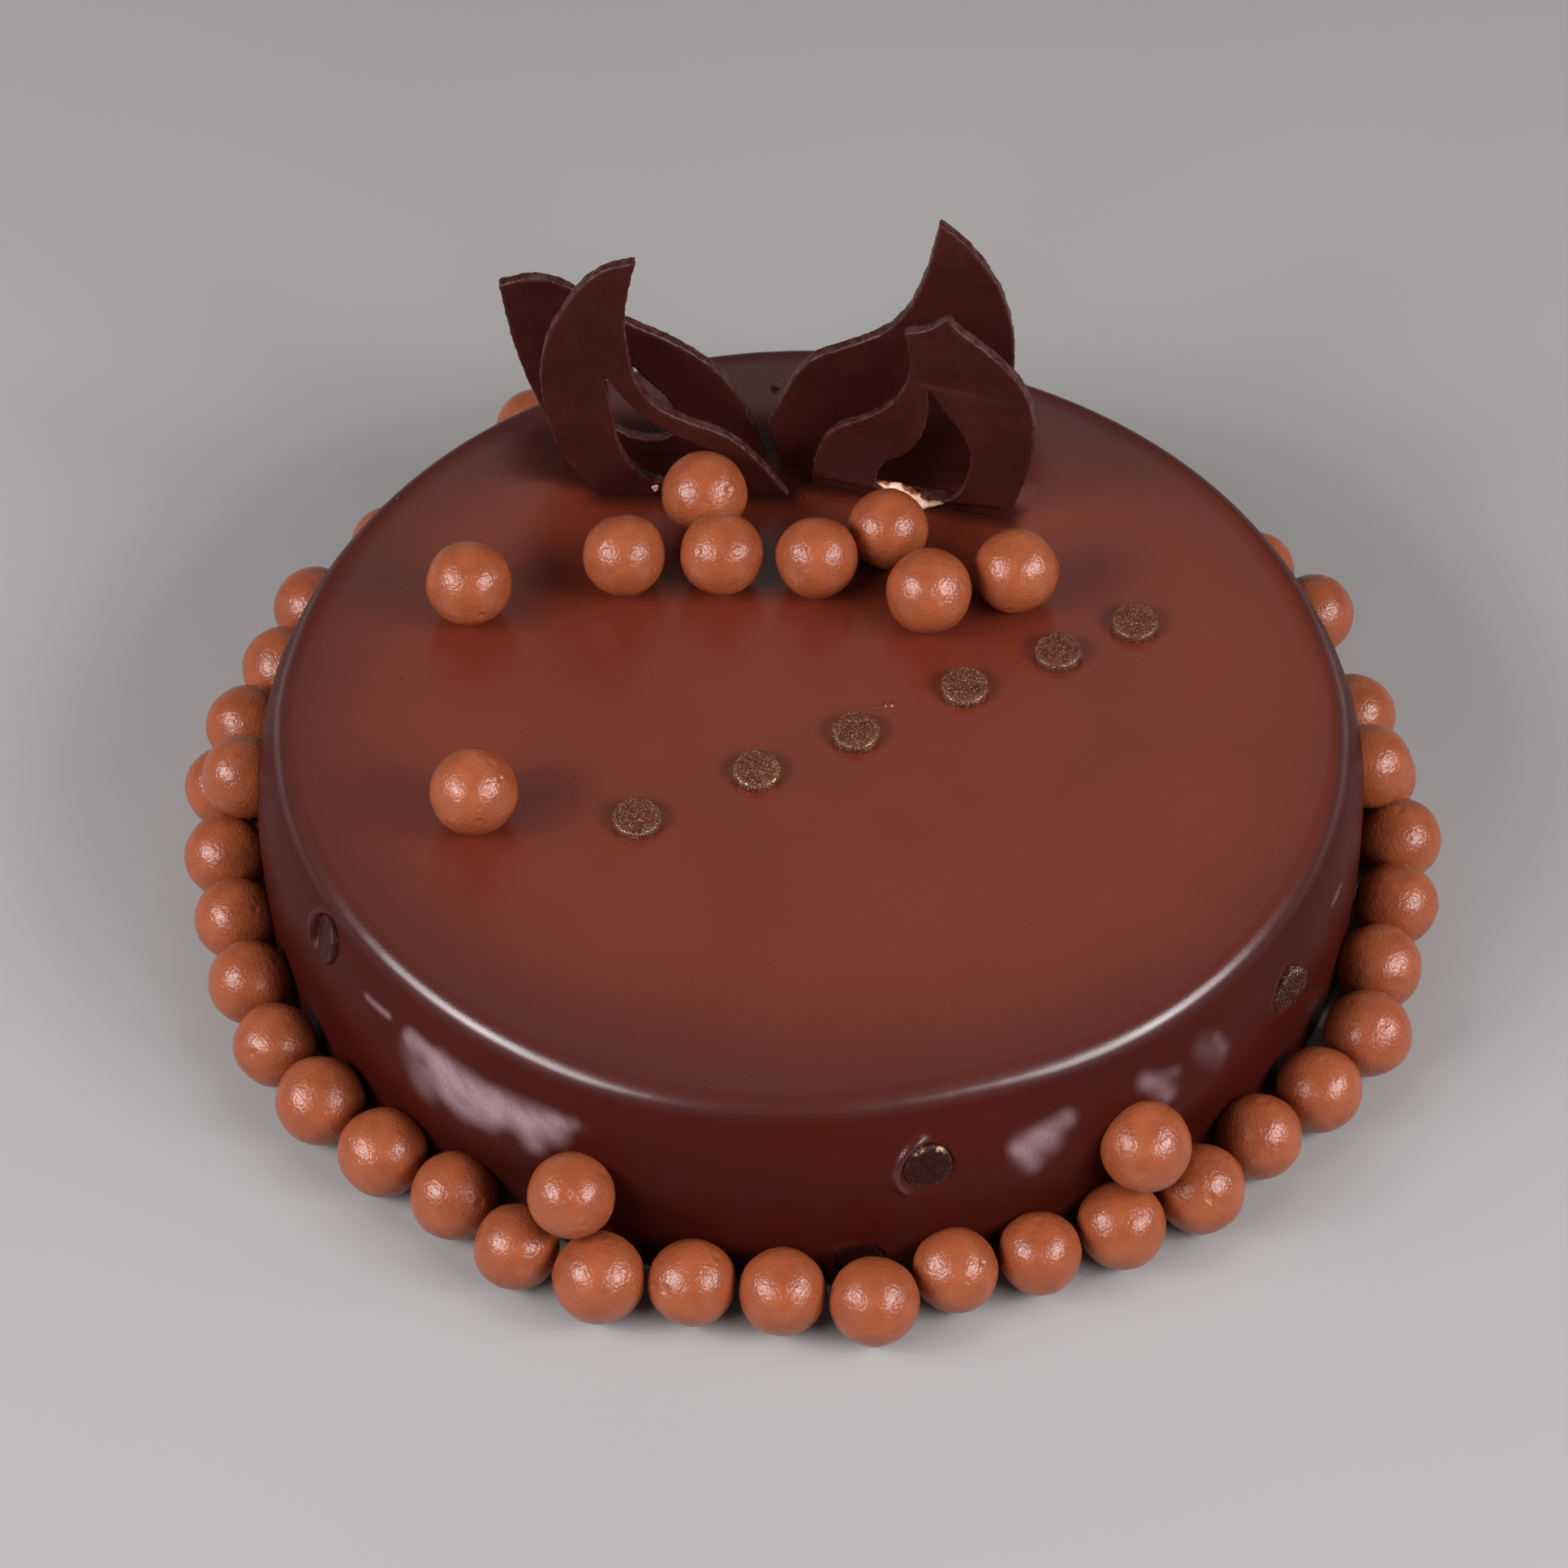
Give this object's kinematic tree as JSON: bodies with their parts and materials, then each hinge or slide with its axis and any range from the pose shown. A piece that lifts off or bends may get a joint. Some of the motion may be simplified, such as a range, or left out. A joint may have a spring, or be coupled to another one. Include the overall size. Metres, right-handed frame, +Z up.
{
  "type": "chocolate cake",
  "caption": "Round glazed chocolate cake with standing cut-out chocolate shards and loose malt balls on top, and a ring of malt balls round its foot.",
  "frame": {"origin": "centre of the cake's flat bottom", "axes": "+Z up out of the top; -Y towards the front, where the top is open; the shards stand towards +Y"},
  "size_m": [0.2227, 0.2238, 0.0969],
  "materials": {
    "chocolate_glaze": "semi-gloss poured chocolate glaze",
    "milk_chocolate": "satin milk chocolate coating",
    "dark_chocolate": "satin dark chocolate with rough edges"
  },
  "bodies": {
    "root": {"cake": "chocolate_glaze", "shard_front_left": "dark_chocolate", "shard_front_right": "dark_chocolate", "shard_rear_left": "dark_chocolate", "shard_rear_right": "dark_chocolate", "ball_top_01": "milk_chocolate", "ball_top_02": "milk_chocolate", "ball_top_03": "milk_chocolate", "ball_top_04": "milk_chocolate", "ball_top_05": "milk_chocolate", "ball_top_06": "milk_chocolate", "ball_top_07": "milk_chocolate", "ball_top_08": "milk_chocolate", "ball_top_09": "milk_chocolate", "ball_stacked_01": "milk_chocolate", "ball_stacked_02": "milk_chocolate", "ball_stacked_03": "milk_chocolate", "ball_stacked_04": "milk_chocolate", "ball_stacked_05": "milk_chocolate", "ball_foot_01": "milk_chocolate", "ball_foot_02": "milk_chocolate", "ball_foot_03": "milk_chocolate", "ball_foot_04": "milk_chocolate", "ball_foot_05": "milk_chocolate", "ball_foot_06": "milk_chocolate", "ball_foot_07": "milk_chocolate", "ball_foot_08": "milk_chocolate", "ball_foot_09": "milk_chocolate", "ball_foot_10": "milk_chocolate", "ball_foot_11": "milk_chocolate", "ball_foot_12": "milk_chocolate", "ball_foot_13": "milk_chocolate", "ball_foot_14": "milk_chocolate", "ball_foot_15": "milk_chocolate", "ball_foot_16": "milk_chocolate", "ball_foot_17": "milk_chocolate", "ball_foot_18": "milk_chocolate", "ball_foot_19": "milk_chocolate", "ball_foot_20": "milk_chocolate", "ball_foot_21": "milk_chocolate", "ball_foot_22": "milk_chocolate", "ball_foot_23": "milk_chocolate", "ball_foot_24": "milk_chocolate", "ball_foot_25": "milk_chocolate", "ball_foot_26": "milk_chocolate", "ball_foot_27": "milk_chocolate", "ball_foot_28": "milk_chocolate", "ball_foot_29": "milk_chocolate", "ball_foot_30": "milk_chocolate", "ball_foot_31": "milk_chocolate", "ball_foot_32": "milk_chocolate", "ball_foot_33": "milk_chocolate", "ball_foot_34": "milk_chocolate", "ball_foot_35": "milk_chocolate", "ball_foot_36": "milk_chocolate", "ball_foot_37": "milk_chocolate", "ball_foot_38": "milk_chocolate", "ball_foot_39": "milk_chocolate", "ball_foot_40": "milk_chocolate", "ball_foot_41": "milk_chocolate"}
  },
  "joints": []
}
